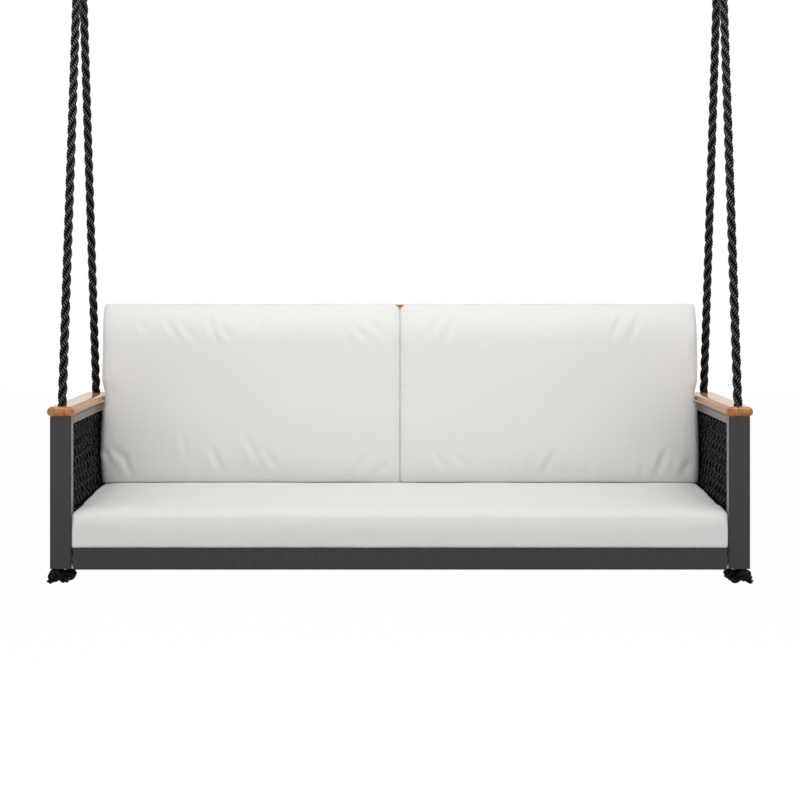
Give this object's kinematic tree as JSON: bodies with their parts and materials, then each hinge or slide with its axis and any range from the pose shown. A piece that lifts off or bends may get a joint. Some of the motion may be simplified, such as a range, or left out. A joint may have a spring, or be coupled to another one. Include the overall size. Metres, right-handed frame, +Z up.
{
  "type": "porch swing seat",
  "caption": "Two-seat porch swing with rope-woven sides, teak caps and loose cushions, hung by one rope per side from two pivoting ceiling hangers.",
  "frame": {"origin": "on the ceiling, midway between the two hangers", "axes": "+Z up, +Y towards the back of the seat, +X to the right of someone facing the seat"},
  "size_m": [1.845, 0.7502, 2.1013],
  "materials": {
    "anthracite_powder_coat": "matt anthracite powder coat",
    "oiled_teak": "sanded and oiled",
    "black_rope": "twisted multifilament rope",
    "off_white_fabric": "woven outdoor cover",
    "zinc_plated_steel": "zinc plated",
    "black_nylon": "moulded"
  },
  "bodies": {
    "hangers": {"left_hanger_bracket": "zinc_plated_steel", "left_hanger_pin": "zinc_plated_steel", "right_hanger_bracket": "zinc_plated_steel", "right_hanger_pin": "zinc_plated_steel"},
    "swing": {"left_hanger_link": "zinc_plated_steel", "left_rope_ring": "zinc_plated_steel", "left_rope": "black_rope", "left_rope_whipping": "black_rope", "left_front_knot": "black_rope", "left_rear_knot": "black_rope", "left_front_post": "anthracite_powder_coat", "left_rear_post": "anthracite_powder_coat", "left_front_foot_plug": "black_nylon", "left_rear_foot_plug": "black_nylon", "left_arm_top_rail": "anthracite_powder_coat", "left_arm_bottom_rail": "anthracite_powder_coat", "left_arm_cap": "oiled_teak", "left_weave_frame": "anthracite_powder_coat", "left_weave_uprights": "black_rope", "left_weave_rows": "black_rope", "left_front_spacer": "black_nylon", "left_rear_spacer": "black_nylon", "left_back_cushion": "off_white_fabric", "right_hanger_link": "zinc_plated_steel", "right_rope_ring": "zinc_plated_steel", "right_rope": "black_rope", "right_rope_whipping": "black_rope", "right_front_knot": "black_rope", "right_rear_knot": "black_rope", "right_front_post": "anthracite_powder_coat", "right_rear_post": "anthracite_powder_coat", "right_front_foot_plug": "black_nylon", "right_rear_foot_plug": "black_nylon", "right_arm_top_rail": "anthracite_powder_coat", "right_arm_bottom_rail": "anthracite_powder_coat", "right_arm_cap": "oiled_teak", "right_weave_frame": "anthracite_powder_coat", "right_weave_uprights": "black_rope", "right_weave_rows": "black_rope", "right_front_spacer": "black_nylon", "right_rear_spacer": "black_nylon", "right_back_cushion": "off_white_fabric", "back_weave_frame": "anthracite_powder_coat", "back_weave_uprights": "black_rope", "back_weave_rows": "black_rope", "seat_front_rail": "anthracite_powder_coat", "seat_rear_rail": "anthracite_powder_coat", "seat_left_end_rail": "anthracite_powder_coat", "seat_right_end_rail": "anthracite_powder_coat", "seat_centre_brace": "anthracite_powder_coat", "seat_slat_1": "anthracite_powder_coat", "seat_slat_2": "anthracite_powder_coat", "seat_slat_3": "anthracite_powder_coat", "seat_slat_4": "anthracite_powder_coat", "seat_slat_5": "anthracite_powder_coat", "back_left_stile": "anthracite_powder_coat", "back_right_stile": "anthracite_powder_coat", "back_top_rail": "anthracite_powder_coat", "back_cap": "oiled_teak", "seat_cushion": "off_white_fabric"}
  },
  "joints": [
    {"name": "swing_hinge", "type": "hinge", "parent": "hangers", "child": "swing", "pos_m": [0, 0, -0.04], "axis": [1, 0, 0], "range_deg": [-25, 25]}
  ]
}
